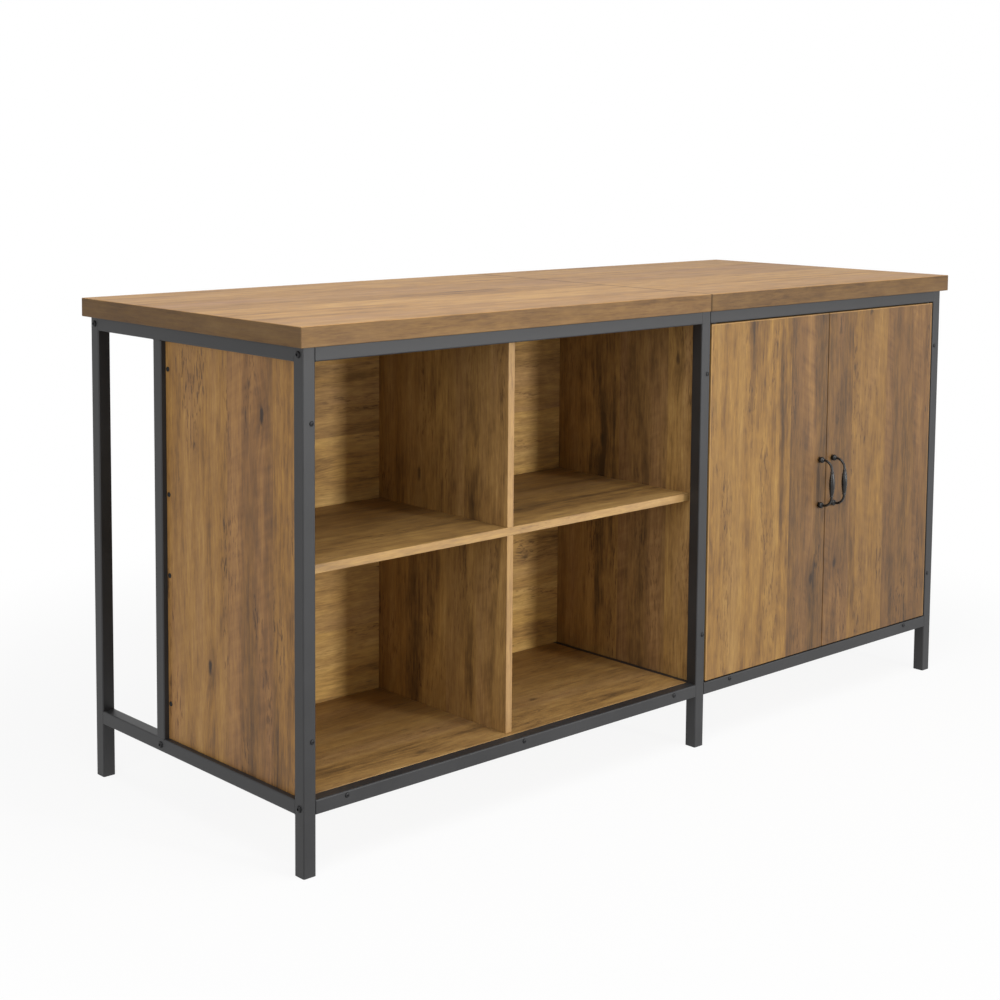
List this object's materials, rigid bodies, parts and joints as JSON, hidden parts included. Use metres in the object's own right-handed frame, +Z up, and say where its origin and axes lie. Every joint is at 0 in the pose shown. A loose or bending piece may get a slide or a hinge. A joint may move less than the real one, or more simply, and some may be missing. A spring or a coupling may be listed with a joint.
{
  "type": "kitchen island",
  "caption": "Long kitchen island with a black steel tube frame, a wood-look worktop, open compartments and a cupboard with inset doors.",
  "frame": {"origin": "on the floor, at the middle of the island's footprint with its handles included", "axes": "+X along the island from the open bay to the cupboard, +Y from the doors to the back, +Z up"},
  "size_m": [1.8, 0.696, 0.9],
  "materials": {
    "worktop_wood": "wood-look laminate, straight lengthwise grain, satin",
    "door_wood": "rustic plank-look laminate, upright grain, satin",
    "side_wood": "rustic plank-look laminate, upright grain, satin",
    "inner_wood": "rustic wood-look laminate with lighter edge tape on its front edges, satin",
    "dowel_wood": "plain beech, hidden",
    "frame_black": "black powder coat, satin",
    "handle_black": "black lacquered casting, semi-gloss",
    "screw_black": "blackened steel, semi-matt",
    "zinc_steel": "bright zinc-plated steel",
    "foot_plastic": "black moulded plastic, matt",
    "catch_plastic": "dark brown moulded plastic, matt",
    "magnet_dark": "dark sintered magnet",
    "bush_nylon": "white nylon"
  },
  "bodies": {
    "carcass": {"back_screws": "screw_black", "board_dowels": "dowel_wood", "bottom_screws": "screw_black", "catch_body": "catch_plastic", "catch_magnets": "magnet_dark", "catch_screws": "zinc_steel", "cupboard_back_low_rail": "frame_black", "cupboard_bottom": "inner_wood", "cupboard_front_low_rail": "frame_black", "cupboard_front_top_rail": "frame_black", "cupboard_lower_back": "inner_wood", "cupboard_rear_top_rail": "frame_black", "cupboard_shelf": "inner_wood", "cupboard_upper_back": "inner_wood", "foot_plugs": "foot_plastic", "frame_bolts": "screw_black", "joining_studs": "zinc_steel", "left_front_leg": "frame_black", "left_low_side_rail": "frame_black", "left_rear_leg": "frame_black", "left_side_panel": "side_wood", "left_top_side_rail": "frame_black", "left_upright": "frame_black", "lower_divider": "inner_wood", "middle_front_leg": "frame_black", "middle_low_side_rail": "frame_black", "middle_rear_leg": "frame_black", "middle_side_panel": "side_wood", "middle_top_side_rail": "frame_black", "middle_upright": "frame_black", "panel_screws": "screw_black", "pivot_pins": "zinc_steel", "right_front_leg": "frame_black", "right_low_side_rail": "frame_black", "right_rear_leg": "frame_black", "right_side_panel": "side_wood", "right_top_side_rail": "frame_black", "right_upright": "frame_black", "shelf_bay_back_low_rail": "frame_black", "shelf_bay_bottom": "inner_wood", "shelf_bay_front_low_rail": "frame_black", "shelf_bay_front_top_rail": "frame_black", "shelf_bay_lower_back": "inner_wood", "shelf_bay_rear_top_rail": "frame_black", "shelf_bay_shelf": "inner_wood", "shelf_bay_upper_back": "inner_wood", "upper_divider": "inner_wood", "worktop_left": "worktop_wood", "worktop_right": "worktop_wood", "worktop_screws": "screw_black"},
    "left_door": {"left_door": "door_wood", "left_door_bushes": "bush_nylon", "left_handle": "handle_black", "left_handle_screws": "zinc_steel", "left_strike_plate": "zinc_steel"},
    "right_door": {"right_door": "door_wood", "right_door_bushes": "bush_nylon", "right_handle": "handle_black", "right_handle_screws": "zinc_steel", "right_strike_plate": "zinc_steel"}
  },
  "joints": [
    {"name": "left_door_hinge", "type": "hinge", "parent": "carcass", "child": "left_door", "pos_m": [0.1155, -0.3025, 0.484], "axis": [0, 0, -1], "range_deg": [0, 110]},
    {"name": "right_door_hinge", "type": "hinge", "parent": "carcass", "child": "right_door", "pos_m": [0.8465, -0.3025, 0.484], "axis": [0, 0, 1], "range_deg": [0, 110]}
  ]
}
